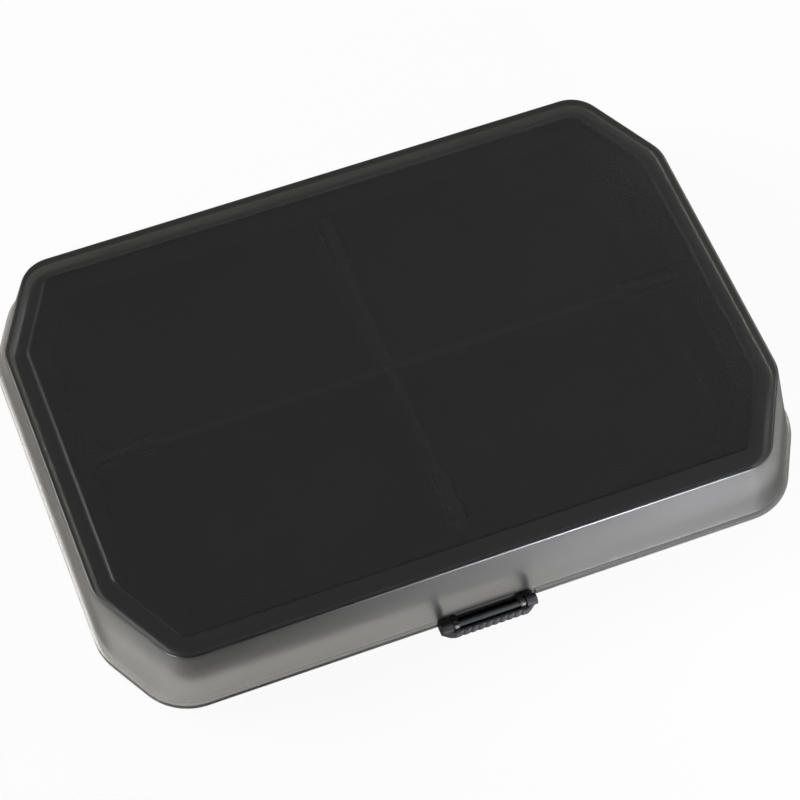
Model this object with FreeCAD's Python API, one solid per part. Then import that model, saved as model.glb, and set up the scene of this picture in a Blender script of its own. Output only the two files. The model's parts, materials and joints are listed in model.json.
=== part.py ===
import FreeCAD, Part
from FreeCAD import Vector
import math
import os

# Cut-corner compartment box, closed: a black tray under a deep smoked lid.
# Millimetres. The origin is the middle of the tray's flat bottom, +Z is up, the latch faces -Y.

# Lid: plan at its top edge, and how far each wall leans out at its foot
lid_length = 200.0
lid_width = 135.6
corner_cut_x = 14.9
corner_cut_y = 27.4
corner_radius = 13.0
flank_radius = 26.0
least_radius = 2.0
end_flare = 1.3
side_flare = 4.5
corner_flare = 5.4
total_height = 24.2
skirt_height = 19.1
lid_wall = 1.8
lid_top = 2.2
top_edge_radius = 0.8
rim_width = 6.6
panel_depth = 0.6
panel_edge_bevel = 0.5
lip_out = 0.9
lip_height = 1.6

# Tray
tray_inset = 9.8
tray_draft = 1.2
tray_wall = 2.2
floor_thickness = 2.2
rim_below_top = 4.0
tray_fillet = 3.0
rim_flange_width = 7.6
rim_flange_thickness = 1.4
rim_turn_down = 14.2
bottom_edge_radius = 1.2

# Dividers, the guides that they stand in, and the lid's ribs that straddle their ends
divider_thickness = 2.2
divider_clearance = 0.2
guide_thickness = 1.6
guide_reach = 2.6
guide_below_rim = 2.0
rib_length = 16.0
rib_thickness = 1.0
rib_side_clearance = 0.5
rib_overlap = 1.0
rib_wall_clearance = 2.2

# Rear hinges
hinge_from_end = 44.0
hinge_arm_length = 12.0
lid_knuckle_length = 7.0
knuckle_radius = 2.3
knuckle_gap = 0.3
pin_radius = 1.0
pin_clearance = 0.05
hinge_lip_gap = 0.4
hinge_drop = 0.2
hinge_arm_thickness = 2.0
hinge_arm_gap = 0.5

# Front latch, its pin and the keeper under which it hooks
latch_width = 27.5
latch_lip_width = 21.0
latch_hub_width = 3.0
latch_hub_radius = 1.7
latch_side_gap = 0.3
latch_ear_width = 1.6
latch_ear_radius = 1.3
latch_pin_radius = 0.8
latch_pin_out = 1.3
latch_pin_rise = 0.6
latch_lip_gap = 0.35
latch_lip_thickness = 0.9
latch_plate_thickness = 1.0
latch_plate_drop = 2.5
latch_hook_reach = 3.9
latch_notch_gap = 0.7
latch_groove_count = 9
latch_groove_width = 1.0
latch_groove_depth = 0.3
keeper_clearance = 0.3
keeper_out = 0.4
keeper_width = 27.0
keeper_tongue = 1.2
keeper_depth = 3.2
keeper_arm = 1.6
keeper_height = 4.0
keeper_skirt_gap = 0.5

# Levels and places that follow from the sizes above
skirt_foot = total_height - skirt_height
lid_underside = total_height - lid_top
tray_rim = total_height - rim_below_top
divider_top = tray_rim
rib_foot = divider_top - rib_overlap
half_thickness = divider_thickness / 2
lid_foot_y = lid_width / 2 + side_flare
lip_y = lid_foot_y + lip_out
hinge_middle_x = lid_length / 2 - hinge_from_end
hinge_y = lip_y + hinge_lip_gap + knuckle_radius
hinge_z = skirt_foot - hinge_drop
latch_pin_y = -(lip_y + latch_pin_out)
latch_pin_z = skirt_foot + latch_pin_rise
latch_plate_top = latch_pin_z - latch_plate_drop
hub_outer_x = latch_width / 2
hub_inner_x = hub_outer_x - latch_hub_width
ear_outer_x = hub_inner_x - latch_side_gap
ear_inner_x = ear_outer_x - latch_ear_width
cut_run = math.hypot(corner_cut_x, corner_cut_y)


def outline_points(end, side, corner):
    """Corners of the plan, with its ends, sides and cut corners each moved out by their own amount."""
    half_x = lid_length / 2 + end
    half_y = lid_width / 2 + side
    reach = corner_cut_y * lid_length / 2 + corner_cut_x * lid_width / 2 - corner_cut_x * corner_cut_y
    reach = reach + corner * cut_run
    end_y = (reach - corner_cut_y * half_x) / corner_cut_x
    side_x = (reach - corner_cut_x * half_y) / corner_cut_y
    quarter = [(half_x, end_y, flank_radius + corner), (side_x, half_y, corner_radius + corner)]
    ring = quarter + [(-x, y, r) for x, y, r in reversed(quarter)]
    ring += [(-x, -y, r) for x, y, r in quarter]
    ring += [(x, -y, r) for x, y, r in reversed(quarter)]
    return [(Vector(x, y, 0), max(r, least_radius)) for x, y, r in ring]


def outline(end, side, corner, z):
    """The plan as one closed wire at height z, each corner rounded by an arc."""
    ring = outline_points(end, side, corner)
    arcs = []
    for i, (flat, radius) in enumerate(ring):
        point = flat + Vector(0, 0, z)
        before = (ring[i - 1][0] - flat).normalize()
        after = (ring[(i + 1) % len(ring)][0] - flat).normalize()
        half_angle = before.getAngle(after) / 2
        run = radius / math.tan(half_angle)
        middle = (before + after).normalize()
        depth = radius / math.sin(half_angle) - radius
        arcs.append((point + before * run, point + middle * depth, point + after * run))
    edges = []
    for i, (start, middle, finish) in enumerate(arcs):
        edges.append(Part.Arc(start, middle, finish).toShape())
        edges.append(Part.LineSegment(finish, arcs[(i + 1) % len(arcs)][0]).toShape())
    return Part.Wire(edges)


def walls(low, high):
    """A closed solid between two plans, each given as end, side, corner and height."""
    return Part.makeLoft([outline(*low), outline(*high)], True, True)


def block(x0, x1, y0, y1, z0, z1):
    return Part.makeBox(x1 - x0, y1 - y0, z1 - z0, Vector(x0, y0, z0))


def rod(radius, x0, x1, y, z):
    return Part.makeCylinder(radius, x1 - x0, Vector(x0, y, z), Vector(1, 0, 0))


def level_edges(shape, z):
    return [e for e in shape.Edges if abs(e.BoundBox.ZMin - z) < 1e-4 and abs(e.BoundBox.ZMax - z) < 1e-4]


def lid_plan(z, inward):
    """The lid's plan at height z, moved in by a wall."""
    lean = (total_height - z) / skirt_height
    return (end_flare * lean - inward, side_flare * lean - inward, corner_flare * lean - inward, z)


def tray_plan(z, inward):
    """The tray's plan at height z, moved in by a wall."""
    lean = tray_draft * (tray_rim - z) / tray_rim
    shift = -(tray_inset + lean + inward)
    return (shift, shift, shift, z)


def lid_half_width(z, inward):
    return lid_width / 2 + lid_plan(z, inward)[1]


def tray_half_width(z, inward):
    return lid_width / 2 + tray_plan(z, inward)[1]


def tray_half_length(z, inward):
    return lid_length / 2 + tray_plan(z, inward)[0]


def tray_hollow(gap):
    """The room inside the tray, smaller by a gap at its walls, with its floor edge rounded."""
    inward = tray_wall + gap
    room = walls(tray_plan(floor_thickness, inward), tray_plan(tray_rim, inward))
    return room.makeFillet(tray_fillet, level_edges(room, floor_thickness))


def hinge_spans(middle):
    """X ranges of one hinge: the tray's arm, and the lid's knuckles on either side of it."""
    arm = (middle - hinge_arm_length / 2, middle + hinge_arm_length / 2)
    left = (arm[0] - knuckle_gap - lid_knuckle_length, arm[0] - knuckle_gap)
    right = (arm[1] + knuckle_gap, arm[1] + knuckle_gap + lid_knuckle_length)
    return arm, left, right


def end_guides():
    """Pairs of upright ribs that hold the divider ends, at both ends and both sides of the tray."""
    near = half_thickness + divider_clearance
    far = near + guide_thickness
    top = tray_rim - guide_below_rim
    inner_x = tray_half_length(floor_thickness, tray_wall) - guide_reach
    outer_x = tray_half_length(floor_thickness, tray_wall / 2)
    inner_y = tray_half_width(floor_thickness, tray_wall) - guide_reach
    outer_y = tray_half_width(floor_thickness, tray_wall / 2)
    low = floor_thickness / 2
    ribs = []
    for sign in (-1, 1):
        for a, b in ((near, far), (-far, -near)):
            x0, x1 = sorted((sign * inner_x, sign * outer_x))
            y0, y1 = sorted((sign * inner_y, sign * outer_y))
            ribs.append(block(x0, x1, a, b, low, top))
            ribs.append(block(a, b, y0, y1, low, top))
    return ribs


def make_keeper():
    """A tongue for the latch below the skirt, carried by two arms on the tray's front wall."""
    wall_y = -tray_half_width(floor_thickness, tray_wall / 2)
    low = latch_plate_top + keeper_clearance
    tongue_y = latch_pin_y + latch_hub_radius + keeper_out
    front_y = keeper_skirt_gap - lid_half_width(low + keeper_height, lid_wall)
    half = keeper_width / 2
    keeper = block(-half, half, tongue_y, tongue_y + keeper_depth, low, low + keeper_tongue)
    for x in (-half, half - keeper_arm):
        keeper = keeper.fuse(block(x, x + keeper_arm, tongue_y, wall_y, low, low + keeper_tongue))
        keeper = keeper.fuse(block(x, x + keeper_arm, front_y, wall_y, low, low + keeper_height))
    return keeper


def make_rim_flange():
    """Flat flange round the tray's rim, turned down at its edge behind the lid's skirt."""
    turn_low = tray_rim - rim_turn_down
    flange_low = tray_rim - rim_flange_thickness
    inside = rim_flange_thickness - rim_flange_width
    whole = walls(tray_plan(turn_low, -rim_flange_width), tray_plan(tray_rim, -rim_flange_width))
    return whole.cut(walls(tray_plan(turn_low, inside), tray_plan(flange_low, inside)))


def make_tray():
    shell = walls(tray_plan(0, 0), tray_plan(tray_rim, 0))
    shell = shell.makeFillet(bottom_edge_radius, level_edges(shell, 0))
    tray = shell.fuse(make_rim_flange()).cut(tray_hollow(0))
    for rib in end_guides():
        tray = tray.fuse(rib)
    tray = tray.fuse(make_keeper())
    arm_root = tray_half_width(floor_thickness, tray_wall / 2)
    arm_top = skirt_foot - hinge_arm_gap
    for middle in (-hinge_middle_x, hinge_middle_x):
        arm = hinge_spans(middle)[0]
        tray = tray.fuse(block(arm[0], arm[1], arm_root, hinge_y, arm_top - hinge_arm_thickness, arm_top))
        tray = tray.fuse(rod(knuckle_radius, arm[0], arm[1], hinge_y, hinge_z))
        tray = tray.cut(rod(pin_radius, arm[0], arm[1], hinge_y, hinge_z))
    return tray.removeSplitter()


def lid_ribs():
    """Short ribs under the lid, in pairs, which straddle the ends of the dividers."""
    near = half_thickness + rib_side_clearance
    far = near + rib_thickness
    end_x = tray_half_length(tray_rim, tray_wall) - rib_wall_clearance
    end_y = tray_half_width(tray_rim, tray_wall) - rib_wall_clearance
    top = lid_underside + panel_depth
    ribs = []
    for sign in (-1, 1):
        for a, b in ((near, far), (-far, -near)):
            x0, x1 = sorted((sign * end_x, sign * (end_x - rib_length)))
            y0, y1 = sorted((sign * end_y, sign * (end_y - rib_length)))
            ribs.append(block(x0, x1, a, b, rib_foot, top))
            ribs.append(block(a, b, y0, y1, rib_foot, top))
    return ribs


def sunk_panel():
    """What is cut from the lid's top inside its rim, with a bevelled upper edge."""
    floor_z = total_height - panel_depth
    deep = (-rim_width, -rim_width, -rim_width, floor_z)
    edge = panel_edge_bevel - rim_width
    return walls(deep, (edge, edge, edge, total_height))


def latch_ear(x0, x1):
    """One ear on the skirt's foot that holds the latch pin."""
    wall_y = -(lid_foot_y - lid_wall / 2)
    ear = rod(latch_ear_radius, x0, x1, latch_pin_y, latch_pin_z)
    arm = block(x0, x1, latch_pin_y, wall_y, skirt_foot, latch_pin_z + latch_ear_radius)
    return ear.fuse(arm).cut(rod(latch_pin_radius, x0, x1, latch_pin_y, latch_pin_z))


def make_lid():
    outer = walls(lid_plan(skirt_foot, 0), lid_plan(total_height, 0))
    outer = outer.makeFillet(top_edge_radius, level_edges(outer, total_height))
    lip = walls(lid_plan(skirt_foot, -lip_out), lid_plan(skirt_foot + lip_height, -lip_out))
    notch = hub_outer_x + latch_side_gap
    hub_room = latch_pin_y + latch_hub_radius + latch_notch_gap
    lip = lip.cut(block(-notch, notch, -lip_y - lip_out, max(hub_room, -lid_foot_y), 0, total_height))
    inner = walls(lid_plan(skirt_foot, lid_wall), lid_plan(lid_underside, lid_wall))
    lid = outer.fuse(lip).cut(inner).cut(sunk_panel())
    for rib in lid_ribs():
        lid = lid.fuse(rib)
    for sign in (-1, 1):
        x0, x1 = sorted((sign * ear_inner_x, sign * ear_outer_x))
        lid = lid.fuse(latch_ear(x0, x1))
    for middle in (-hinge_middle_x, hinge_middle_x):
        for x0, x1 in hinge_spans(middle)[1:]:
            web = block(x0, x1, lid_foot_y - lid_wall / 2, hinge_y, skirt_foot, hinge_z + knuckle_radius)
            knuckle = rod(knuckle_radius, x0, x1, hinge_y, hinge_z).fuse(web)
            lid = lid.fuse(knuckle.cut(rod(pin_radius + pin_clearance, x0, x1, hinge_y, hinge_z)))
    return lid.removeSplitter()


def make_long_divider():
    half = tray_half_length(tray_rim, 0)
    slab = block(-half, half, -half_thickness, half_thickness, floor_thickness, divider_top)
    divider = slab.common(tray_hollow(divider_clearance))
    near = half_thickness + divider_clearance
    far = near + guide_thickness
    for a, b in ((near, far), (-far, -near)):
        for y0, y1 in ((0, half_thickness + guide_reach), (-half_thickness - guide_reach, 0)):
            divider = divider.fuse(block(a, b, y0, y1, floor_thickness, divider_top - guide_below_rim))
    return divider.removeSplitter()


def make_cross_divider(sign):
    near = half_thickness + divider_clearance
    y0, y1 = sorted((sign * near, sign * tray_half_width(tray_rim, 0)))
    slab = block(-half_thickness, half_thickness, y0, y1, floor_thickness, divider_top)
    return slab.common(tray_hollow(divider_clearance))


def make_hinge_pin(middle):
    left, right = hinge_spans(middle)[1:]
    return rod(pin_radius, left[0], right[1], hinge_y, hinge_z)


def make_latch_pin():
    return rod(latch_pin_radius, -hub_outer_x, hub_outer_x, latch_pin_y, latch_pin_z)


def make_latch():
    """Two hubs on the pin, a ribbed finger lip before it, and a plate below that hooks under the keeper."""
    lip_back = latch_pin_y - latch_ear_radius - latch_lip_gap
    lip_front = lip_back - latch_lip_thickness
    plate_low = latch_plate_top - latch_plate_thickness
    hook_y = latch_pin_y + latch_hook_reach
    half_lip = latch_lip_width / 2
    lip_top = latch_pin_z
    plan = [(-half_lip, lip_front), (half_lip, lip_front), (hub_outer_x, latch_pin_y),
            (hub_outer_x, hook_y), (-hub_outer_x, hook_y), (-hub_outer_x, latch_pin_y)]
    corners = [Vector(x, y, plate_low) for x, y in plan]
    face = Part.Face(Part.makePolygon(corners + corners[:1]))
    body = face.extrude(Vector(0, 0, lip_top - plate_low))
    window = block(-hub_inner_x, hub_inner_x, lip_back, hook_y, latch_plate_top, lip_top)
    hub_back = latch_pin_y + latch_hub_radius
    behind = block(-hub_outer_x, hub_outer_x, hub_back, hook_y, latch_plate_top, lip_top)
    latch = body.cut(window).cut(behind)
    for sign in (-1, 1):
        x0, x1 = sorted((sign * hub_inner_x, sign * hub_outer_x))
        latch = latch.fuse(rod(latch_hub_radius, x0, x1, latch_pin_y, latch_pin_z))
    bore = rod(latch_pin_radius + pin_clearance, -hub_outer_x, hub_outer_x, latch_pin_y, latch_pin_z)
    latch = latch.cut(bore)
    pitch = latch_lip_width / (latch_groove_count + 1)
    for i in range(latch_groove_count):
        x0 = pitch * (i + 1) - half_lip - latch_groove_width / 2
        y0 = lip_front - latch_groove_depth
        y1 = lip_front + latch_groove_depth
        latch = latch.cut(block(x0, x0 + latch_groove_width, y0, y1, plate_low, lip_top))
    return latch.removeSplitter()


pieces = {
    "base_tray": make_tray(),
    "lid": make_lid(),
    "long_divider": make_long_divider(),
    "cross_divider_front": make_cross_divider(-1),
    "cross_divider_back": make_cross_divider(1),
    "hinge_pin_left": make_hinge_pin(-hinge_middle_x),
    "hinge_pin_right": make_hinge_pin(hinge_middle_x),
    "latch": make_latch(),
    "latch_pin": make_latch_pin(),
}

os.makedirs("parts", exist_ok=True)
for name, shape in pieces.items():
    box = shape.BoundBox
    print(name, "solids", len(shape.Solids), "valid", shape.isValid(), "volume", round(shape.Volume, 1),
          "x", round(box.XMin, 2), round(box.XMax, 2), "y", round(box.YMin, 2), round(box.YMax, 2),
          "z", round(box.ZMin, 2), round(box.ZMax, 2))
    shape.exportStep("parts/" + name + ".step")
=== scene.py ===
import bmesh
import bpy
import json
import math
from mathutils import Matrix, Vector


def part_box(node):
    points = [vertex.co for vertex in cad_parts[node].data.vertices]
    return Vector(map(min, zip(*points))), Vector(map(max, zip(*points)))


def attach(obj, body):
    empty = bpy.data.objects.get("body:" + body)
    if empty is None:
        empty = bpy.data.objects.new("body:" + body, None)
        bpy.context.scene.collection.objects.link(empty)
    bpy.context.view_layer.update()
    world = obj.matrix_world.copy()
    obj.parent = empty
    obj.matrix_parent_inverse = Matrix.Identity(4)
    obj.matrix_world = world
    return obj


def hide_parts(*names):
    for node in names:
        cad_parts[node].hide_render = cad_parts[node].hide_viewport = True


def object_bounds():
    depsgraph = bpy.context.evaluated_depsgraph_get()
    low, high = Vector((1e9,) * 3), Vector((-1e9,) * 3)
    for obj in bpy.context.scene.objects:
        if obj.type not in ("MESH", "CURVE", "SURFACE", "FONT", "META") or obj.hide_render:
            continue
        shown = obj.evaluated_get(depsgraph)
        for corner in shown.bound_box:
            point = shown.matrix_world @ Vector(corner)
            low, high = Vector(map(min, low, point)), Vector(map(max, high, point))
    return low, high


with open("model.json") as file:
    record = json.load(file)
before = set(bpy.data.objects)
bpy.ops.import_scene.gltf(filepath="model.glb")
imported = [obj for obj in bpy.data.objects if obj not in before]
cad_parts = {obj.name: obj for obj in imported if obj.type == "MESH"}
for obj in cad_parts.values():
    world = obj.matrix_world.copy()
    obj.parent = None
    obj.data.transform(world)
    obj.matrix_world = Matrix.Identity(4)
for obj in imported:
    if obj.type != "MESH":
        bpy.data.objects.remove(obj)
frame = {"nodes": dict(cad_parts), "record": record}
cadLow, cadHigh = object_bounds()
joints = {joint["name"]: joint for joint in frame["record"]["behaviour"]["joints"]}
mm = 0.001  # the shapes below are written in millimetres
hingeY, hingeZ = (value / mm for value in joints["lid_hinge"]["pos_m"][1:])
latchY, latchZ = (value / mm for value in joints["latch_hinge"]["pos_m"][1:])
lidTop = cadHigh.z / mm
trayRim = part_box("base_tray")[1].z / mm
print("frame loaded:", sorted(frame["nodes"]))


# Mesh helpers: every shape is closed, and small edges are rounded before shapes are joined
# steps across a rounded edge, round a rod or an eye, and across each rounding of the lofted shells
meshSteps = {"edge": 2, "rod": 40, "knuckle": 28, "eye": 30, "ear": 24, "mark": 32, "lidStep": 8,
             "lidEdge": 5, "lidInside": 4, "trayFoot": 4, "trayRim": 3, "trayFloor": 6, "divider": 5}
spare = 1.0  # how far a cutting shape stands past the surface that it cuts


def newPiece(name, bm):
    bmesh.ops.recalc_face_normals(bm, faces=bm.faces)
    mesh = bpy.data.meshes.new(name)
    bm.to_mesh(mesh)
    bm.free()
    piece = bpy.data.objects.new(name, mesh)
    bpy.context.scene.collection.objects.link(piece)
    return piece


def applyModifiers(piece):
    graph = bpy.context.evaluated_depsgraph_get()
    mesh = bpy.data.meshes.new_from_object(piece.evaluated_get(graph))
    piece.modifiers.clear()
    old = piece.data
    piece.data = mesh
    bpy.data.meshes.remove(old)


def combine(piece, bm, operation):
    tool = newPiece("tool", bm)
    change = piece.modifiers.new("join", "BOOLEAN")
    change.operation = operation
    change.solver = "EXACT"
    change.object = tool
    applyModifiers(piece)
    bpy.data.objects.remove(tool)


def softenEdges(piece, width, angle):
    change = piece.modifiers.new("soften", "BEVEL")
    change.width = width * mm
    change.segments = meshSteps["edge"]
    change.limit_method = "ANGLE"
    change.angle_limit = math.radians(angle)
    applyModifiers(piece)


def finishPiece(piece, material, body, node, sharp=32):
    piece.data.materials.clear()
    piece.data.materials.append(material)
    piece.data.shade_smooth()
    piece.data.set_sharp_from_angle(angle=math.radians(sharp))
    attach(piece, body)
    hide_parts(node)


def loft(rings):
    bm = bmesh.new()
    rows = [[bm.verts.new(Vector(point) * mm) for point in ring] for ring in rings]
    count = len(rows[0])
    for upper, lower in zip(rows, rows[1:]):
        for i in range(count):
            j = (i + 1) % count
            bm.faces.new((upper[i], lower[i], lower[j], upper[j]))
    bm.faces.new(rows[0])
    bm.faces.new(rows[-1])
    return bm


def addBlock(bm, low, high, rounding):
    made = bmesh.ops.create_cube(bm, size=1.0)["verts"]
    for vert in made:
        for k in range(3):
            vert.co[k] = (low[k] if vert.co[k] < 0 else high[k]) * mm
    edges = list({edge for vert in made for edge in vert.link_edges})
    if rounding:
        bmesh.ops.bevel(bm, geom=edges, offset=rounding * mm, segments=meshSteps["edge"], profile=0.5,
                        affect="EDGES")


def addPrism(bm, outline, axis, low, high, rounding):
    place = (lambda a, b, c: (c, a, b)) if axis == "x" else (lambda a, b, c: (a, b, c))
    ends = [[bm.verts.new(Vector(place(a, b, level)) * mm) for a, b in outline] for level in (low, high)]
    count = len(outline)
    caps = [bm.faces.new(ends[0]), bm.faces.new(ends[1])]
    for i in range(count):
        j = (i + 1) % count
        bm.faces.new((ends[0][i], ends[0][j], ends[1][j], ends[1][i]))
    if rounding:
        rims = list({edge for cap in caps for edge in cap.edges})
        bmesh.ops.bevel(bm, geom=rims, offset=rounding * mm, segments=meshSteps["edge"], profile=0.5,
                        affect="EDGES")


def circlePoints(y, z, radius, first, last, steps):
    turns = [math.radians(first + (last - first) * i / steps) for i in range(steps + 1)]
    return [(y + radius * math.cos(turn), z + radius * math.sin(turn)) for turn in turns]


def meetAngle(level, middle, radius):
    # degrees above the horizontal at which a circle round that middle reaches a level
    return math.degrees(math.asin(max(-1.0, min(1.0, (level - middle) / radius))))


def fullCircle(y, z, radius, steps):
    return circlePoints(y, z, radius, 0, 360 - 360 / steps, steps - 1)


def addRod(bm, radius, x0, x1, y, z):
    addPrism(bm, fullCircle(y, z, radius, meshSteps["rod"]), "x", x0, x1, 0)


# Plan of the box: an octagon with rounded corners, whose ends, sides and cut corners each lean out by their
# own amount. The front's straight stretch starts after corner number frontStart.
planShape = {"cutX": 14.9, "cutY": 27.4, "cornerRadius": 10.0, "flankRadius": 11.0, "leastRadius": 2.0,
             "arcSteps": 9, "frontStart": 5}
lidShape = {
    "endFlare": 1.3, "sideFlare": 4.5, "cornerFlare": 5.4, "skirtHeight": 19.1, "wall": 1.8, "top": 2.2,
    "edgeRadius": 0.8, "rimWidth": 6.6, "panelDepth": 0.6, "stepReach": 1.1, "lipOut": 0.9, "lipHeight": 1.6,
    "lipRounding": 0.3, "lipStart": 1.6, "insideRounding": 1.0, "notchHalf": 14.05, "notchEdge": 0.35,
    "hingeBeyondLip": 2.7,
}
# height in roundings from the lip's top with the share of its reach, then height and way back from the foot
lipUpper = ((0.4, 0.12), (-0.1, 0.55), (-1.0, 1.0))
lipLower = ((1.0, 0.0), (0.3, 0.3), (0.0, 1.0))
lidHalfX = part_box("lid")[1].x / mm - lidShape["endFlare"] - lidShape["lipOut"]
lidFootY = hingeY - lidShape["hingeBeyondLip"] - lidShape["lipOut"]
lidHalfY = lidFootY - lidShape["sideFlare"]
skirtFoot = lidTop - lidShape["skirtHeight"]
lidUnderside = lidTop - lidShape["top"]


def planCorners(end, side, corner):
    cutX, cutY = planShape["cutX"], planShape["cutY"]
    halfX, halfY = lidHalfX + end, lidHalfY + side
    reach = cutY * lidHalfX + cutX * lidHalfY - cutX * cutY + corner * math.hypot(cutX, cutY)
    flank = (halfX, (reach - cutY * halfX) / cutX, planShape["flankRadius"] + corner)
    shoulder = ((reach - cutX * halfY) / cutY, halfY, planShape["cornerRadius"] + corner)
    back = [flank, shoulder] + [(-x, y, r) for x, y, r in (shoulder, flank)]
    front = [(-x, -y, r) for x, y, r in (flank, shoulder)] + [(x, -y, r) for x, y, r in (shoulder, flank)]
    return [(Vector((x, y, 0)), max(r, planShape["leastRadius"])) for x, y, r in back + front]


def planRing(end, side, corner, z, frontPoints=()):
    corners = planCorners(end, side, corner)
    steps = planShape["arcSteps"]
    points = []
    for i, (tip, radius) in enumerate(corners):
        before = (corners[i - 1][0] - tip).normalized()
        after = (corners[(i + 1) % len(corners)][0] - tip).normalized()
        half = before.angle(after) / 2
        middle = tip + (before + after).normalized() * radius / math.sin(half)
        spoke = tip + before * radius / math.tan(half) - middle
        turn = math.pi - 2 * half
        points += [middle + Matrix.Rotation(turn * k / steps, 3, "Z") @ spoke for k in range(steps + 1)]
        if i == planShape["frontStart"]:
            points += [Vector((x, y, 0)) for x, y in frontPoints]
    return [(point.x, point.y, z) for point in points]


def lidRing(z, inward, notched=False):
    lean = (lidTop - z) / lidShape["skirtHeight"]
    end, side, corner = (lidShape[key] * lean - inward for key in ("endFlare", "sideFlare", "cornerFlare"))
    inner = lidShape["sideFlare"] * lean if notched else side
    half, edge = lidShape["notchHalf"], lidShape["notchEdge"]
    stretch = [(-half - edge, side), (-half, inner), (half, inner), (half + edge, side)]
    return planRing(end, side, corner, z, [(x, -lidHalfY - move) for x, move in stretch])


def quarterTurn(steps):
    return [(math.sin(math.pi / 2 * k / steps), math.cos(math.pi / 2 * k / steps)) for k in range(steps + 1)]


def lidRings():
    rim, depth, reach = lidShape["rimWidth"], lidShape["panelDepth"], lidShape["stepReach"]
    rings = []
    # sunk panel and the soft step up to the rim, a half wave across
    steps = meshSteps["lidStep"]
    for k in range(steps + 1):
        drop = depth * (1 + math.cos(math.pi * k / steps)) / 2
        rings.append(lidRing(lidTop - drop, rim + reach * (1 - 2 * k / steps)))
    # rim, small top edge and the leaning wall
    edge = lidShape["edgeRadius"]
    for across, down in quarterTurn(meshSteps["lidEdge"]):
        rings.append(lidRing(lidTop - edge * (1 - down), edge * (1 - across)))
    lipTop, soft = skirtFoot + lidShape["lipHeight"], lidShape["lipRounding"]
    rings.append(lidRing(lipTop + soft * lidShape["lipStart"], 0))
    # lip: a rounded bead round the foot, left out where the latch stands
    out = lidShape["lipOut"]
    for up, share in lipUpper:
        rings.append(lidRing(lipTop + soft * up, -out * share, True))
    for up, back in lipLower:
        rings.append(lidRing(skirtFoot + soft * up, -out + soft * back, True))
    # inside: up the wall, round its upper corner, across the underside
    wall, inside = lidShape["wall"], lidShape["insideRounding"]
    rings.append(lidRing(skirtFoot, wall - soft))
    rings.append(lidRing(skirtFoot + soft, wall))
    for across, down in quarterTurn(meshSteps["lidInside"]):
        rings.append(lidRing(lidUnderside - inside * (1 - across), wall + inside * (1 - down)))
    return rings


hingeShape = {"fromEnd": 44.0, "armLength": 12.0, "knuckleLength": 7.0, "gap": 0.3, "radius": 2.29,
              "bore": 1.05, "armThickness": 2.0, "armGap": 0.5, "rounding": 0.25}
hingeMiddle = lidHalfX - hingeShape["fromEnd"]
earShape = {"inner": 8.85, "outer": 10.45, "radius": 1.3, "bore": 0.83, "rounding": 0.2}
dividerShape = {"half": 1.1, "clearance": 0.2, "guideThickness": 1.6, "guideReach": 2.6, "guideBelowRim": 2.0,
                "rounding": 0.3}
ribShape = {"length": 16.0, "thickness": 1.0, "sideGap": 0.5, "overlap": 1.0, "wallGap": 2.2, "rounding": 0.2}
trayShape = {"inset": 9.8, "draft": 1.2, "wall": 2.2, "floor": 2.2, "floorRounding": 3.0,
             "bottomRounding": 1.2, "rimRounding": 0.5, "flange": 7.6, "flangeThickness": 1.4, "turnDown": 14.2,
             "markRadius": 4.0, "markDepth": 0.25, "markX": 58.0, "markY": 34.0}


def hingeSpans(middle):
    arm = hingeShape["armLength"] / 2
    near = arm + hingeShape["gap"]
    far = near + hingeShape["knuckleLength"]
    return (middle - arm, middle + arm), (middle - far, middle - near), (middle + near, middle + far)


def knuckleOutline(rootY, low, high):
    # a round eye on the hinge axis with an arm back to the wall
    radius = hingeShape["radius"]
    meet = meetAngle(low, hingeZ, radius)
    eye = circlePoints(hingeY, hingeZ, radius, 90, -180 - meet, meshSteps["knuckle"])
    return [(rootY, high)] + eye + [(rootY, low)]


def trayShift(z, inward):
    return -(trayShape["inset"] + trayShape["draft"] * (trayRim - z) / trayRim + inward)


def trayRing(z, inward):
    shift = trayShift(z, inward)
    return planRing(shift, shift, shift, z)


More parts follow.
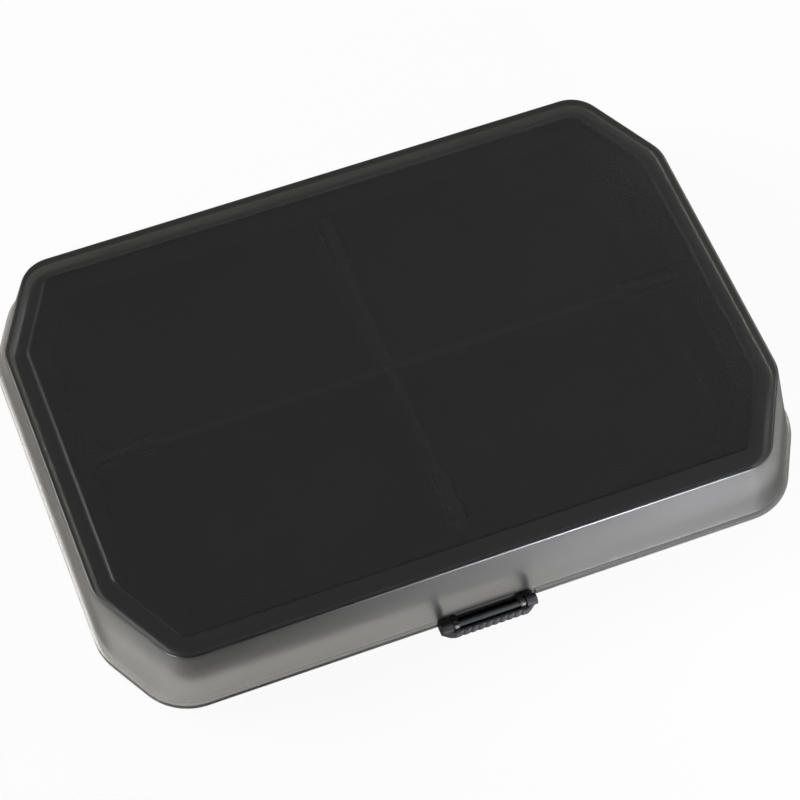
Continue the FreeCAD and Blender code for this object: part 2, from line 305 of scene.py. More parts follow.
def makeLid():
    lid = newPiece("lidShell", loft(lidRings()))
    ribs = bmesh.new()
    near = dividerShape["half"] + ribShape["sideGap"]
    far = near + ribShape["thickness"]
    endX = lidHalfX + trayShift(trayRim, trayShape["wall"]) - ribShape["wallGap"]
    endY = lidHalfY + trayShift(trayRim, trayShape["wall"]) - ribShape["wallGap"]
    low, high = trayRim - ribShape["overlap"], lidUnderside + lidShape["panelDepth"]
    for sign in (-1, 1):
        x0, x1 = sorted((sign * endX, sign * (endX - ribShape["length"])))
        y0, y1 = sorted((sign * endY, sign * (endY - ribShape["length"])))
        for a, b in ((near, far), (-far, -near)):
            addBlock(ribs, (x0, a, low), (x1, b, high), ribShape["rounding"])
            addBlock(ribs, (a, y0, low), (b, y1, high), ribShape["rounding"])
    combine(lid, ribs, "UNION")
    arms, bores = bmesh.new(), bmesh.new()
    rootY = lidFootY - lidShape["wall"] / 2
    high = hingeZ + hingeShape["radius"]
    for middle in (-hingeMiddle, hingeMiddle):
        for x0, x1 in hingeSpans(middle)[1:]:
            addPrism(arms, knuckleOutline(rootY, skirtFoot, high), "x", x0, x1, hingeShape["rounding"])
            addRod(bores, hingeShape["bore"], x0 - spare, x1 + spare, hingeY, hingeZ)
    radius = earShape["radius"]
    meet = meetAngle(skirtFoot, latchZ, radius)
    eye = circlePoints(latchY, latchZ, radius, 90, 360 + meet, meshSteps["ear"])
    outline = [(-rootY, latchZ + radius)] + eye + [(-rootY, skirtFoot)]
    for sign in (-1, 1):
        x0, x1 = sorted((sign * earShape["inner"], sign * earShape["outer"]))
        addPrism(arms, outline, "x", x0, x1, earShape["rounding"])
        addRod(bores, earShape["bore"], x0 - spare, x1 + spare, latchY, latchZ)
    combine(lid, arms, "UNION")
    combine(lid, bores, "DIFFERENCE")
    return lid


keeperShape = {"half": 13.5, "belowPin": 2.2, "tongueFromPin": 2.1, "tongue": 1.2, "depth": 3.2, "arm": 1.6,
               "height": 4.0, "skirtGap": 0.5, "rounding": 0.2}


def makeTray():
    floor, fillet, foot = trayShape["floor"], trayShape["floorRounding"], trayShape["bottomRounding"]
    wall, rim = trayShape["wall"], trayShape["rimRounding"]
    out, under = -trayShape["flange"], trayRim - trayShape["flangeThickness"]
    # the wall turns out into a flat flange, whose edge turns down into an outer wall behind the lid's skirt
    inside, turn = out + trayShape["flangeThickness"], trayRim - trayShape["turnDown"]
    footArc, rimArc, floorArc = (quarterTurn(meshSteps[key]) for key in ("trayFoot", "trayRim", "trayFloor"))
    rings = [trayRing(foot * (1 - down), foot * (1 - across)) for across, down in footArc]
    rings += [trayRing(under - rim * (1 - across), -rim * (1 - down)) for across, down in rimArc]
    rings += [trayRing(under - rim * (1 - down), inside + rim * (1 - across)) for across, down in rimArc]
    rings += [trayRing(turn + rim / 2, inside), trayRing(turn, inside - rim / 2)]
    rings += [trayRing(turn, out + rim / 2), trayRing(turn + rim / 2, out)]
    rings += [trayRing(trayRim - rim * (1 - across), out + rim * (1 - down)) for across, down in rimArc]
    rings += [trayRing(trayRim - rim * (1 - down), wall - rim * (1 - across)) for across, down in rimArc]
    rings += [trayRing(floor + fillet * (1 - across), wall + fillet * (1 - down))
              for across, down in floorArc]
    tray = newPiece("trayShell", loft(rings))
    guides = bmesh.new()
    near = dividerShape["half"] + dividerShape["clearance"]
    far = near + dividerShape["guideThickness"]
    high = trayRim - dividerShape["guideBelowRim"]
    outX, outY = (half + trayShift(floor, wall / 2) for half in (lidHalfX, lidHalfY))
    inX, inY = (half + trayShift(floor, wall) - dividerShape["guideReach"] for half in (lidHalfX, lidHalfY))
    for sign in (-1, 1):
        x0, x1 = sorted((sign * inX, sign * outX))
        y0, y1 = sorted((sign * inY, sign * outY))
        for a, b in ((near, far), (-far, -near)):
            addBlock(guides, (x0, a, floor / 2), (x1, b, high), dividerShape["rounding"])
            addBlock(guides, (a, y0, floor / 2), (b, y1, high), dividerShape["rounding"])
    combine(tray, guides, "UNION")
    half, low = keeperShape["half"], latchZ - keeperShape["belowPin"]
    rootY = -lidHalfY - trayShift(floor, wall / 2)
    tongueY = latchY + keeperShape["tongueFromPin"]
    top = low + keeperShape["height"]
    leanOut = lidShape["sideFlare"] * (lidTop - top) / lidShape["skirtHeight"]
    frontY = keeperShape["skirtGap"] - lidHalfY - leanOut + lidShape["wall"]
    tongueTop, soft = low + keeperShape["tongue"], keeperShape["rounding"]
    arms, webs, tongue = bmesh.new(), bmesh.new(), bmesh.new()
    for x in (-half, half - keeperShape["arm"]):
        addBlock(arms, (x, tongueY, low), (x + keeperShape["arm"], rootY, tongueTop), soft)
        addBlock(webs, (x, frontY, low), (x + keeperShape["arm"], rootY, top), soft)
    addBlock(tongue, (-half, tongueY, low), (half, tongueY + keeperShape["depth"], tongueTop), soft)
    for shape in (webs, arms, tongue):
        combine(tray, shape, "UNION")
    arms, bores = bmesh.new(), bmesh.new()
    armTop = skirtFoot - hingeShape["armGap"]
    for middle in (-hingeMiddle, hingeMiddle):
        x0, x1 = hingeSpans(middle)[0]
        low = armTop - hingeShape["armThickness"]
        radius = hingeShape["radius"]
        lowMeet, highMeet = (meetAngle(level, hingeZ, radius) for level in (low, armTop))
        rootY = lidHalfY + trayShift(floor, wall / 2)
        eye = circlePoints(hingeY, hingeZ, radius, 180 - highMeet, -180 - lowMeet, meshSteps["eye"])
        addPrism(arms, [(rootY, armTop)] + eye + [(rootY, low)], "x", x0, x1, hingeShape["rounding"])
        addRod(bores, hingeShape["bore"], x0 - spare, x1 + spare, hingeY, hingeZ)
    combine(tray, arms, "UNION")
    combine(tray, bores, "DIFFERENCE")
    # shallow round marks of the mould's gate and ejector pins, under the floor
    marks = bmesh.new()
    spots = [(0, 0)] + [(x * trayShape["markX"], y * trayShape["markY"]) for x in (-1, 1) for y in (-1, 1)]
    for x, y in spots:
        outline = fullCircle(x, y, trayShape["markRadius"], meshSteps["mark"])
        addPrism(marks, outline, "z", -spare, trayShape["markDepth"], 0)
    combine(tray, marks, "DIFFERENCE")
    return tray


def dividerOutline(half, ends):
    # side view of a divider: its lower corners clear the rounding between floor and wall
    floor, wall = trayShape["floor"], trayShape["wall"]
    fillet, gap = trayShape["floorRounding"], dividerShape["clearance"]
    low, high = floor, trayRim
    bottom = half + trayShift(low, wall + gap)
    top = half + trayShift(high, wall + gap)
    arc = quarterTurn(meshSteps["divider"])
    corner = [(bottom - fillet * (1 - across), low + fillet * (1 - down)) for across, down in arc]
    soft = dividerShape["rounding"]
    right = corner + [(top, high - soft), (top - soft, high)]
    if ends == 2:
        return right + [(-a, b) for a, b in reversed(right)]
    start = dividerShape["half"] + gap
    return right + [(start + soft, high), (start, high - soft), (start, low)]


def makeLongDivider():
    bm = bmesh.new()
    addPrism(bm, dividerOutline(lidHalfX, 2), "x", -dividerShape["half"], dividerShape["half"],
             dividerShape["rounding"])
    bmesh.ops.rotate(bm, verts=bm.verts, matrix=Matrix.Rotation(math.radians(-90), 3, "Z"))
    divider = newPiece("longDivider", bm)
    guides = bmesh.new()
    near = dividerShape["half"] + dividerShape["clearance"]
    far = near + dividerShape["guideThickness"]
    reach = dividerShape["half"] + dividerShape["guideReach"]
    high = trayRim - dividerShape["guideBelowRim"]
    for a, b in ((near, far), (-far, -near)):
        addBlock(guides, (a, -reach, trayShape["floor"]), (b, reach, high), dividerShape["rounding"])
    combine(divider, guides, "UNION")
    return divider


def makeCrossDivider(name, sign):
    bm = bmesh.new()
    outline = [(sign * y, z) for y, z in dividerOutline(lidHalfY, 1)]
    addPrism(bm, outline, "x", -dividerShape["half"], dividerShape["half"], dividerShape["rounding"])
    return newPiece(name, bm)


latchShape = {"halfWidth": 13.75, "lipHalf": 10.5, "hubWidth": 3.0, "hubRadius": 1.7, "lipBehind": 1.65,
              "lip": 0.9, "plateDrop": 2.5, "plate": 1.0, "hookReach": 3.9, "bore": 0.85, "frontChamfer": 1.0,
              "grooves": 9, "grooveWidth": 1.0, "grooveDepth": 0.3, "rounding": 0.15, "roundedFrom": 40}


def makeLatch():
    half, inner = latchShape["halfWidth"], latchShape["halfWidth"] - latchShape["hubWidth"]
    lipBack = latchY - latchShape["lipBehind"]
    lipFront = lipBack - latchShape["lip"]
    plateTop = latchZ - latchShape["plateDrop"]
    low, hookY = plateTop - latchShape["plate"], latchY + latchShape["hookReach"]
    lip = latchShape["lipHalf"]
    plan = [(-lip, lipFront), (lip, lipFront), (half, latchY), (half, hookY), (-half, hookY), (-half, latchY)]
    body = bmesh.new()
    addPrism(body, plan, "z", low, latchZ, 0)
    latch = newPiece("latchLever", body)
    cuts = bmesh.new()
    addBlock(cuts, (-inner, lipBack, plateTop), (inner, hookY + spare, latchZ + spare), 0)
    combine(latch, cuts, "DIFFERENCE")
    cuts = bmesh.new()
    addBlock(cuts, (-half - spare, latchY + latchShape["hubRadius"], plateTop),
             (half + spare, hookY + spare, latchZ + spare), 0)
    combine(latch, cuts, "DIFFERENCE")
    hubs, bore, grooves = bmesh.new(), bmesh.new(), bmesh.new()
    for sign in (-1, 1):
        x0, x1 = sorted((sign * inner, sign * half))
        addRod(hubs, latchShape["hubRadius"], x0, x1, latchY, latchZ)
    combine(latch, hubs, "UNION")
    addRod(bore, latchShape["bore"], -half - spare, half + spare, latchY, latchZ)
    combine(latch, bore, "DIFFERENCE")
    pitch = 2 * lip / (latchShape["grooves"] + 1)
    for i in range(latchShape["grooves"]):
        x = pitch * (i + 1) - lip
        wide = latchShape["grooveWidth"] / 2
        addBlock(grooves, (x - wide, lipFront - spare, low - spare),
                 (x + wide, lipFront + latchShape["grooveDepth"], latchZ + spare), 0)
    combine(latch, grooves, "DIFFERENCE")
    # the lip's lower front edge is cut back, so that a fingertip gets under it
    cut, reach = bmesh.new(), latchShape["frontChamfer"] + spare
    front, under = lipFront - spare, low - spare
    addPrism(cut, [(front, under), (lipFront + reach, under), (front, low + reach)],
             "x", -half - spare, half + spare, 0)
    combine(latch, cut, "DIFFERENCE")
    softenEdges(latch, latchShape["rounding"], latchShape["roundedFrom"])
    return latch


pinShape = {"chamfer": 0.25, "dome": 0.1, "domeEdge": 0.1, "flat": 0.3}


def makePin(name, node):
    # drawn wire, cut and tumbled: chamfered ends with a slight dome
    low, high = (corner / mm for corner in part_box(node))
    y, z = (low.y + high.y) / 2, (low.z + high.z) / 2
    radius, chamfer, dome = (high.z - low.z) / 2, pinShape["chamfer"], pinShape["dome"]
    face = radius - chamfer
    profile = [(0, pinShape["flat"]), (dome / 2, face - pinShape["domeEdge"]), (dome, face),
               (dome + chamfer, radius)]
    rows = [(low.x + a, r) for a, r in profile] + [(high.x - a, r) for a, r in reversed(profile)]
    rings = [[(x, a, b) for a, b in fullCircle(y, z, r, meshSteps["rod"])] for x, r in rows]
    return newPiece(name, loft(rings))


# Node and colour helpers

def linearFromHex(text):
    parts = [int(text[i:i + 2], 16) / 255 for i in (1, 3, 5)]
    return [c / 12.92 if c <= 0.04045 else ((c + 0.055) / 1.055) ** 2.4 for c in parts] + [1.0]


def addNode(tree, kind, settings=None, links=None):
    node = tree.nodes.new(kind)
    for name, value in (settings or {}).items():
        if isinstance(name, int) or name in node.inputs:
            node.inputs[name].default_value = value
        else:
            setattr(node, name, value)
    for name, socket in (links or {}).items():
        tree.links.new(socket, node.inputs[name])
    return node


def newMaterial(name):
    material = bpy.data.materials.new(name)
    material.use_nodes = True
    material.node_tree.nodes.clear()
    return material, material.node_tree


def perMetre(sizeInMm):
    return 1 / (sizeInMm * mm)  # texture scale for a feature of that size, on object coordinates in metres


# Smoked polypropylene, injection moulded: a dark clear body that swallows light with depth.
# Flat faces come from a polished tool: they mirror the room and stay dark. The rim round the panel is satin.
# Upright walls come from a spark-eroded tool: the grain of their upper half scatters light, so it looks paler
# and hides what stands behind it. It fades out towards the foot, where the wall is clear.
smokeLook = {
    "ior": 1.49, "absorb": "#2b2a2b", "density": 240.0,
    "panelTint": "#b4b4b5", "rimTint": "#858586", "wallTint": "#f4f1ea",
    "flatClear": 0.985, "rimClear": 0.945, "footClear": 0.99, "grainClear": 0.93,
    "panelRoughness": 0.24, "rimRoughness": 0.36, "wallRoughness": 0.36,
    "grainFrom": 12.0, "grainTo": 18.0, "lipGrain": 0.8,  # heights in mm, and the grain's share on the lip
    "grain": 0.55, "flatGrainDepth": 0.003, "wallGrainDepth": 0.03,  # drawn coarser than it is, to show
    "scuff": 26.0, "scuffLow": 0.93, "scuffHigh": 1.08,
    "uprightFrom": 0.9, "uprightTo": 0.5, "flatFrom": 0.8, "flatTo": 0.97,  # upward share of a face's normal
    "rimFrom": 0.45, "rimTo": 0.1, "lipFrom": 0.3, "lipTo": 0.1,  # mm from the lid's top and the lip's
}
noiseLow, noiseHigh = 0.3, 0.7  # where most of a noise texture's values lie


def makeSmoke():
    look = smokeLook
    material, tree = newMaterial("smokedPolypropyleneMoulded")
    where = addNode(tree, "ShaderNodeTexCoord")
    face = addNode(tree, "ShaderNodeNewGeometry")
    facing = addNode(tree, "ShaderNodeSeparateXYZ", None, {"Vector": face.outputs["True Normal"]})
    steep = addNode(tree, "ShaderNodeMath", {"operation": "ABSOLUTE"},
                    {0: facing.outputs["Z"]}).outputs["Value"]
    height = addNode(tree, "ShaderNodeSeparateXYZ", None, {"Vector": where.outputs["Object"]}).outputs["Z"]
    # masks by tilt and height, and then what two of them make together
    lipTop = skirtFoot + lidShape["lipHeight"]
    masks = {}
    for name, source, low, high, most in (
            ("upright", steep, look["uprightFrom"], look["uprightTo"], 1.0),
            ("flat", steep, look["flatFrom"], look["flatTo"], 1.0),
            ("raised", height, (lidTop - look["rimFrom"]) * mm, (lidTop - look["rimTo"]) * mm, 1.0),
            ("high", height, look["grainFrom"] * mm, look["grainTo"] * mm, 1.0),
            ("lip", height, (lipTop + look["lipFrom"]) * mm, (lipTop - look["lipTo"]) * mm,
             look["lipGrain"])):
        settings = {"From Min": low, "From Max": high, "To Max": most}
        masks[name] = addNode(tree, "ShaderNodeMapRange", settings, {"Value": source}).outputs["Result"]
    for name, operation, first, second in (
            ("upper", "MULTIPLY", "upright", "high"), ("grained", "MAXIMUM", "upper", "lip"),
            ("rim", "MULTIPLY", "flat", "raised"), ("walls", "MAXIMUM", "upright", "lip")):
        masks[name] = addNode(tree, "ShaderNodeMath", {"operation": operation},
                              {0: masks[first], 1: masks[second]}).outputs["Value"]
    # values that start with the flat panel's and change under each mask in turn
    panelTint, rimTint, wallTint = (linearFromHex(look[key]) for key in ("panelTint", "rimTint", "wallTint"))
    values = {}
    for name, kind, value, changes in (
            ("tint", "RGBA", panelTint, (("rim", rimTint), ("walls", wallTint))),
            ("gloss", "FLOAT", look["panelRoughness"],
             (("rim", look["rimRoughness"]), ("upright", look["wallRoughness"]))),
            ("clear", "FLOAT", look["flatClear"],
             (("rim", look["rimClear"]), ("upright", look["footClear"]), ("grained", look["grainClear"]))),
            ("depth", "FLOAT", look["flatGrainDepth"] * mm, (("grained", look["wallGrainDepth"] * mm),))):
        first, result = (6, 2) if kind == "RGBA" else (2, 0)  # the mix node's sockets for that kind
        for mask, other in changes:
            settings, links = {"data_type": kind, first + 1: other}, {0: masks[mask]}
            (links if isinstance(value, bpy.types.NodeSocket) else settings)[first] = value
            value = addNode(tree, "ShaderNodeMix", settings, links).outputs[result]
        values[name] = value
    scuff = addNode(tree, "ShaderNodeTexNoise", {"Scale": perMetre(look["scuff"]), "Detail": 5.0},
                    {"Vector": where.outputs["Object"]})
    worn = addNode(tree, "ShaderNodeMapRange", {
        "From Min": noiseLow, "From Max": noiseHigh, "To Min": look["scuffLow"], "To Max": look["scuffHigh"]},
        {"Value": scuff.outputs["Fac"]})
    rough = addNode(tree, "ShaderNodeMath", {"operation": "MULTIPLY"},
                    {0: values["gloss"], 1: worn.outputs["Result"]})
    grain = addNode(tree, "ShaderNodeTexNoise", {
        "Scale": perMetre(look["grain"]), "Detail": 3.0, "Roughness": 0.6},
        {"Vector": where.outputs["Object"]})
    bump = addNode(tree, "ShaderNodeBump", {"Strength": 1.0},
                   {"Height": grain.outputs["Fac"], "Distance": values["depth"]})
    shader = addNode(tree, "ShaderNodeBsdfPrincipled", {"IOR": look["ior"]}, {
        "Base Color": values["tint"], "Roughness": rough.outputs["Value"], "Normal": bump.outputs["Normal"],
        "Transmission Weight": values["clear"]})
    body = addNode(tree, "ShaderNodeVolumeAbsorption", {
        "Color": linearFromHex(look["absorb"]), "Density": look["density"]})
    addNode(tree, "ShaderNodeOutputMaterial", None, {
        "Surface": shader.outputs["BSDF"], "Volume": body.outputs["Volume"]})
    return material


# Black polypropylene, moulded in a lightly textured tool: dull, with a faint grain; its paler edges are partly
# rubbed wear and partly a painted highlight.
# Black polystyrene, moulded in a smoother tool: a little glossier; its much paler edges are mostly a painted
# highlight where they catch light, with some rubbing.
# Black ABS, moulded and handled: a low sheen; its greyer edges and corners are partly wear and partly a painted
# highlight.
# The grain of each is drawn coarser than it is, so that it shows.
trayLook = {"name": "blackPolypropyleneMoulded", "colour": "#1b1b1d", "rubAndHighlight": "#2b2a2c", "roughness": 0.40,
            "grain": 0.7, "grainDepth": 0.03}
dividerLook = {"name": "blackPolystyreneMoulded", "colour": "#1d1c1e", "rubAndHighlight": "#5c5a59", "roughness": 0.36,
               "grain": 0.6, "grainDepth": 0.02}
latchLook = {"name": "blackAbsMoulded", "colour": "#2c2c2e", "rubAndHighlight": "#565657", "roughness": 0.50,
             "grain": 0.45, "grainDepth": 0.015}
blackWearAndHighlight = {"ior": 1.49, "patch": 18.0, "patchShare": 0.5, "edgeFrom": 0.5, "edgeTo": 0.6, "edgeShare": 0.9,
             "glossLow": 0.88, "glossHigh": 1.15}


def makeBlack(look):
    material, tree = newMaterial(look["name"])
    where = addNode(tree, "ShaderNodeTexCoord")
    grain = addNode(tree, "ShaderNodeTexNoise", {"Scale": perMetre(look["grain"]), "Detail": 3.0},
                    {"Vector": where.outputs["Object"]})
    patch = addNode(tree, "ShaderNodeTexNoise", {
        "Scale": perMetre(blackWearAndHighlight["patch"]), "Detail": 5.0, "Roughness": 0.65},
        {"Vector": where.outputs["Object"]})
    edge = addNode(tree, "ShaderNodeNewGeometry")
    # painted highlight and wear: sharp edges, found by pointiness, take the paler edge colour, partly rubbed
    # wear and partly light caught on the edges
    edgeWearAndHighlight = addNode(tree, "ShaderNodeMapRange", {
        "From Min": blackWearAndHighlight["edgeFrom"], "From Max": blackWearAndHighlight["edgeTo"], "To Max": blackWearAndHighlight["edgeShare"]},
        {"Value": edge.outputs["Pointiness"]})
    faint = addNode(tree, "ShaderNodeMath", {"operation": "MULTIPLY", 1: blackWearAndHighlight["patchShare"]},
                    {0: patch.outputs["Fac"]})
    share = addNode(tree, "ShaderNodeMath", {"operation": "MAXIMUM"},
                    {0: edgeWearAndHighlight.outputs["Result"], 1: faint.outputs["Value"]})
    tone = addNode(tree, "ShaderNodeMix", {"data_type": "RGBA", 6: linearFromHex(look["colour"]),
                   7: linearFromHex(look["rubAndHighlight"])}, {0: share.outputs["Value"]})
    gloss = addNode(tree, "ShaderNodeMapRange", {
        "From Min": noiseLow, "From Max": noiseHigh, "To Min": look["roughness"] * blackWearAndHighlight["glossLow"],
        "To Max": look["roughness"] * blackWearAndHighlight["glossHigh"]}, {"Value": patch.outputs["Fac"]})
    bump = addNode(tree, "ShaderNodeBump", {"Strength": 1.0, "Distance": look["grainDepth"] * mm},
                   {"Height": grain.outputs["Fac"]})
    shader = addNode(tree, "ShaderNodeBsdfPrincipled", {"IOR": blackWearAndHighlight["ior"]}, {
        "Base Color": tone.outputs[2], "Roughness": gloss.outputs["Result"],
        "Normal": bump.outputs["Normal"]})
    addNode(tree, "ShaderNodeOutputMaterial", None, {"Surface": shader.outputs["BSDF"]})
    return material


# Steel wire, drawn and tumbled: fine lines along its length and a soft grey gleam.
# The latch's pin is blackened: its oxide coat hides most of the metal, so that it looks dull and dark grey.
steelLook = {"name": "steelDrawnWire", "colour": "#9b9a97", "dark": "#6f6e6b", "roughness": 0.32,
             "metal": 1.0}
darkSteelLook = {"name": "steelBlackened", "colour": "#5c5c5f", "dark": "#404043", "roughness": 0.50,
                 "metal": 0.2}
wireLines = {"spacing": 0.12, "stretch": 0.06, "depth": 0.004,  # drawn coarser than real die lines, to show
             "glossLow": 0.8, "glossHigh": 1.25}


def makeSteel(look):
    material, tree = newMaterial(look["name"])
    where = addNode(tree, "ShaderNodeTexCoord")
    along = addNode(tree, "ShaderNodeMapping", {"Scale": (wireLines["stretch"], 1.0, 1.0)},
                    {"Vector": where.outputs["Object"]})
    lines = addNode(tree, "ShaderNodeTexNoise", {
        "Scale": perMetre(wireLines["spacing"]), "Detail": 4.0, "Roughness": 0.6},
        {"Vector": along.outputs["Vector"]})
    tone = addNode(tree, "ShaderNodeMix", {"data_type": "RGBA", 6: linearFromHex(look["dark"]),
                   7: linearFromHex(look["colour"])}, {0: lines.outputs["Fac"]})
    gloss = addNode(tree, "ShaderNodeMapRange", {
        "From Min": noiseLow, "From Max": noiseHigh, "To Min": look["roughness"] * wireLines["glossLow"],
        "To Max": look["roughness"] * wireLines["glossHigh"]}, {"Value": lines.outputs["Fac"]})
    bump = addNode(tree, "ShaderNodeBump", {"Strength": 1.0, "Distance": wireLines["depth"] * mm},
                   {"Height": lines.outputs["Fac"]})
    shader = addNode(tree, "ShaderNodeBsdfPrincipled", {"Metallic": look["metal"]}, {
        "Base Color": tone.outputs[2], "Roughness": gloss.outputs["Result"],
        "Normal": bump.outputs["Normal"]})
    addNode(tree, "ShaderNodeOutputMaterial", None, {"Surface": shader.outputs["BSDF"]})
    return material


smoke = makeSmoke()
blackTray = makeBlack(trayLook)
blackDivider = makeBlack(dividerLook)
blackLatch = makeBlack(latchLook)
steel = makeSteel(steelLook)
darkSteel = makeSteel(darkSteelLook)
print("materials made")

finishPiece(makeLid(), smoke, "lid", "lid", 28)
finishPiece(makeTray(), blackTray, "tray", "base_tray")
finishPiece(makeLongDivider(), blackDivider, "tray", "long_divider")
finishPiece(makeCrossDivider("crossDividerFront", -1), blackDivider, "tray", "cross_divider_front")
finishPiece(makeCrossDivider("crossDividerBack", 1), blackDivider, "tray", "cross_divider_back")
finishPiece(makeLatch(), blackLatch, "latch", "latch")
finishPiece(makePin("hingePinLeft", "hinge_pin_left"), steel, "tray", "hinge_pin_left")
finishPiece(makePin("hingePinRight", "hinge_pin_right"), steel, "tray", "hinge_pin_right")
finishPiece(makePin("latchPin", "latch_pin"), darkSteel, "lid", "latch_pin")
print("pieces made")


# Stage: a pale floor that keeps the shadow, and a room that is brighter towards the horizon
# the floor's glow levels in gloss and through the lid are painted: dimmer for the box's shade, brighter to the
# left for light from that side
stageLook = {"floorColour": "#f4f4f3", "floorShown": 0.94, "shownInGloss": 0.6, "shownThrough": 0.85,
             "paintedShadeInGloss": 0.3, "paintedLightThroughLeft": 0.74, "paintedLightThroughRight": 0.20, "floorHalf": 3.0,
             "floorGap": 0.0002, "roomLow": 0.10, "roomHigh": 0.06, "roomTurn": 0.9}


def makeStage():
    mesh = bpy.data.meshes.new("floor")
    half = stageLook["floorHalf"]
    mesh.from_pydata([(-half, -half, 0), (half, -half, 0), (half, half, 0), (-half, half, 0)], [],
                     [(0, 1, 2, 3)])
    floor = bpy.data.objects.new("floor", mesh)
    bpy.context.scene.collection.objects.link(floor)
    floor.location.z = -stageLook["floorGap"]
    material, tree = newMaterial("paperSweep")
    ray = addNode(tree, "ShaderNodeLightPath")
    share = addNode(tree, "ShaderNodeMath", {"operation": "MULTIPLY", 1: stageLook["floorShown"]},
                    {0: ray.outputs["Is Camera Ray"]}).outputs["Value"]
    # painted shade and light: its glow is dimmed in gloss and through the lid, standing in for the box's own
    # shade, and is painted brighter to the left, standing in for light from that side
    where = addNode(tree, "ShaderNodeTexCoord")
    across = addNode(tree, "ShaderNodeSeparateXYZ", None, {"Vector": where.outputs["Object"]})
    paintedLightThrough = addNode(tree, "ShaderNodeMapRange", {"From Min": cadLow.x, "From Max": cadHigh.x,
                      "To Min": stageLook["paintedLightThroughLeft"], "To Max": stageLook["paintedLightThroughRight"]},
                      {"Value": across.outputs["X"]}).outputs["Result"]
    gloss = addNode(tree, "ShaderNodeMix", {"data_type": "FLOAT", 2: 1.0, 3: stageLook["paintedShadeInGloss"]},
                    {0: ray.outputs["Is Glossy Ray"]}).outputs[0]
    level = addNode(tree, "ShaderNodeMix", {"data_type": "FLOAT"},
                    {0: ray.outputs["Is Transmission Ray"], 2: gloss, 3: paintedLightThrough}).outputs[0]
    for kind, shown in (("Is Glossy Ray", "shownInGloss"), ("Is Transmission Ray", "shownThrough")):
        share = addNode(tree, "ShaderNodeMix", {"data_type": "FLOAT", 3: stageLook[shown]},
                        {0: ray.outputs[kind], 2: share}).outputs[0]
    paper = addNode(tree, "ShaderNodeBsdfDiffuse", {"Color": linearFromHex(stageLook["floorColour"])})
    glow = addNode(tree, "ShaderNodeEmission", {"Color": (1, 1, 1, 1)}, {"Strength": level})
    both = addNode(tree, "ShaderNodeMixShader", None, {
        0: share, 1: paper.outputs["BSDF"], 2: glow.outputs["Emission"]})
    addNode(tree, "ShaderNodeOutputMaterial", None, {"Surface": both.outputs["Shader"]})
    mesh.materials.append(material)


def makeRoom():
    world = bpy.data.worlds.new("studioRoom")
    bpy.context.scene.world = world
    world.use_nodes = True
    tree = world.node_tree
    tree.nodes.clear()
    where = addNode(tree, "ShaderNodeTexCoord")
    parts = addNode(tree, "ShaderNodeSeparateXYZ", None, {"Vector": where.outputs["Generated"]})
    level = addNode(tree, "ShaderNodeMapRange", {
        "From Min": 0.0, "From Max": stageLook["roomTurn"], "To Min": stageLook["roomLow"],
        "To Max": stageLook["roomHigh"]}, {"Value": parts.outputs["Z"]})
    room = addNode(tree, "ShaderNodeBackground", {"Color": (1, 1, 1, 1)},
                   {"Strength": level.outputs["Result"]})
    addNode(tree, "ShaderNodeOutputWorld", None, {"Surface": room.outputs["Background"]})


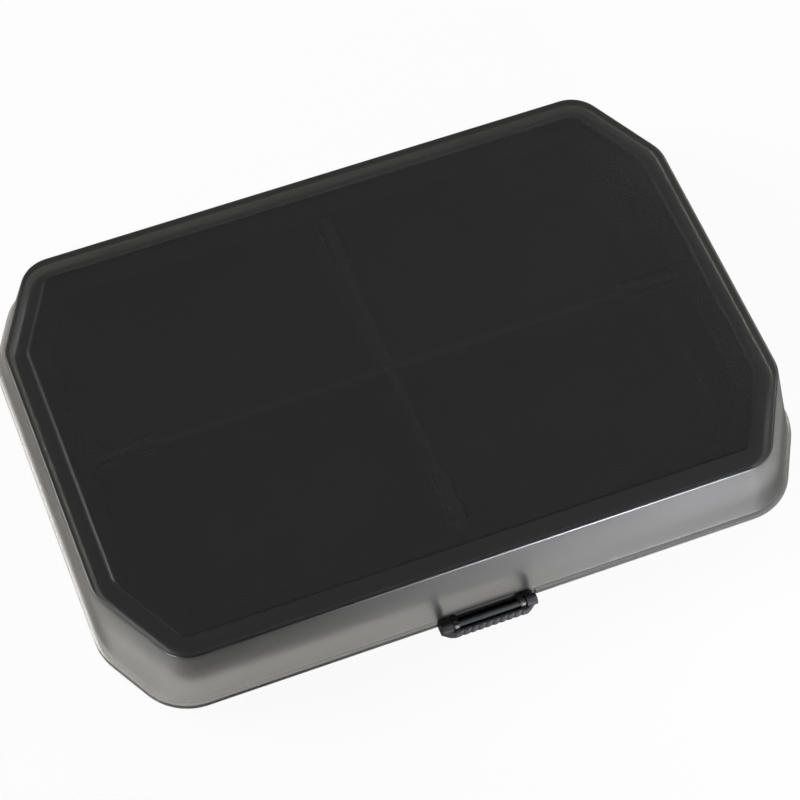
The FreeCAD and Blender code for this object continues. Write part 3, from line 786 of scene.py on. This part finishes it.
# Softboxes: place and the point that each faces in metres, size, watts, colour, degrees left by the grid, and
# whether a polarising filter keeps its glare off the plastic
softboxes = {
    "overhead": {"place": (0.25, 0.75, 1.15), "faces": (0.0, 0.0, 0.02), "size": (1.6, 1.6), "watts": 2.1,
                 "colour": "#ffffff", "spread": 180, "polarised": False},
    "leftBack": {"place": (-0.960, 0.448, 0.563), "faces": (0.0, 0.0, 0.01), "size": (0.6, 0.4),
                 "watts": 12.0, "colour": "#fffdf8", "spread": 180, "polarised": False},
    "rightBack": {"place": (0.960, 0.448, 0.563), "faces": (0.0, 0.0, 0.01), "size": (0.6, 0.4),
                  "watts": 5.0, "colour": "#fffdf8", "spread": 180, "polarised": False},
    "rightGrid": {"place": (0.14, -0.50, 0.05), "faces": (0.075, -0.07, 0.016), "size": (0.05, 0.05),
                  "watts": 0.22, "colour": "#f3f6ff", "spread": 36, "polarised": True},
    "leftGrid": {"place": (-0.40, -0.222, 0.05), "faces": (-0.095, -0.054, 0.016), "size": (0.03, 0.03),
                 "watts": 0.010, "colour": "#f3f6ff", "spread": 15, "polarised": True},
}


def makeSoftboxes():
    for name, look in softboxes.items():
        lamp = bpy.data.lights.new(name, "AREA")
        lamp.shape = "RECTANGLE"
        lamp.size, lamp.size_y = look["size"]
        lamp.energy = look["watts"]
        lamp.color = linearFromHex(look["colour"])[:3]
        lamp.spread = math.radians(look["spread"])
        box = bpy.data.objects.new(name, lamp)
        box.visible_glossy = not look["polarised"]
        box.location = look["place"]
        aim = Vector(look["faces"]) - Vector(look["place"])
        box.rotation_euler = aim.to_track_quat("-Z", "Y").to_euler()
        bpy.context.scene.collection.objects.link(box)


# Camera: level, set by the photograph's perspective, aimed at a point in the plane of the lid's top
cameraSet = {"azimuth": -21.0, "elevation": 57.72, "distance": 796.39, "aim": (-2.16, -12.95),
             "focalPixels": 2889.23, "framePixels": 800.0, "sensor": 36.0, "clip": (0.05, 20)}


def makeCamera():
    azimuth, elevation = math.radians(cameraSet["azimuth"]), math.radians(cameraSet["elevation"])
    back = Vector((math.sin(azimuth) * math.cos(elevation), -math.cos(azimuth) * math.cos(elevation),
                   math.sin(elevation)))
    right = Vector((math.cos(azimuth), math.sin(azimuth), 0))
    aim = Vector((cameraSet["aim"][0] * mm, cameraSet["aim"][1] * mm, cadHigh.z))
    data = bpy.data.cameras.new("camera")
    data.sensor_width = cameraSet["sensor"]
    data.lens = cameraSet["sensor"] * cameraSet["focalPixels"] / cameraSet["framePixels"]
    data.clip_start, data.clip_end = cameraSet["clip"]
    camera = bpy.data.objects.new("camera", data)
    turn = Matrix((right, back.cross(right), back)).transposed()
    camera.matrix_world = Matrix.Translation(aim + back * cameraSet["distance"] * mm) @ turn.to_4x4()
    bpy.context.scene.collection.objects.link(camera)
    bpy.context.scene.camera = camera


makeStage()
makeRoom()
makeSoftboxes()
makeCamera()
bpy.context.scene.view_settings.view_transform = "Standard"
print("stage, lights and camera set")
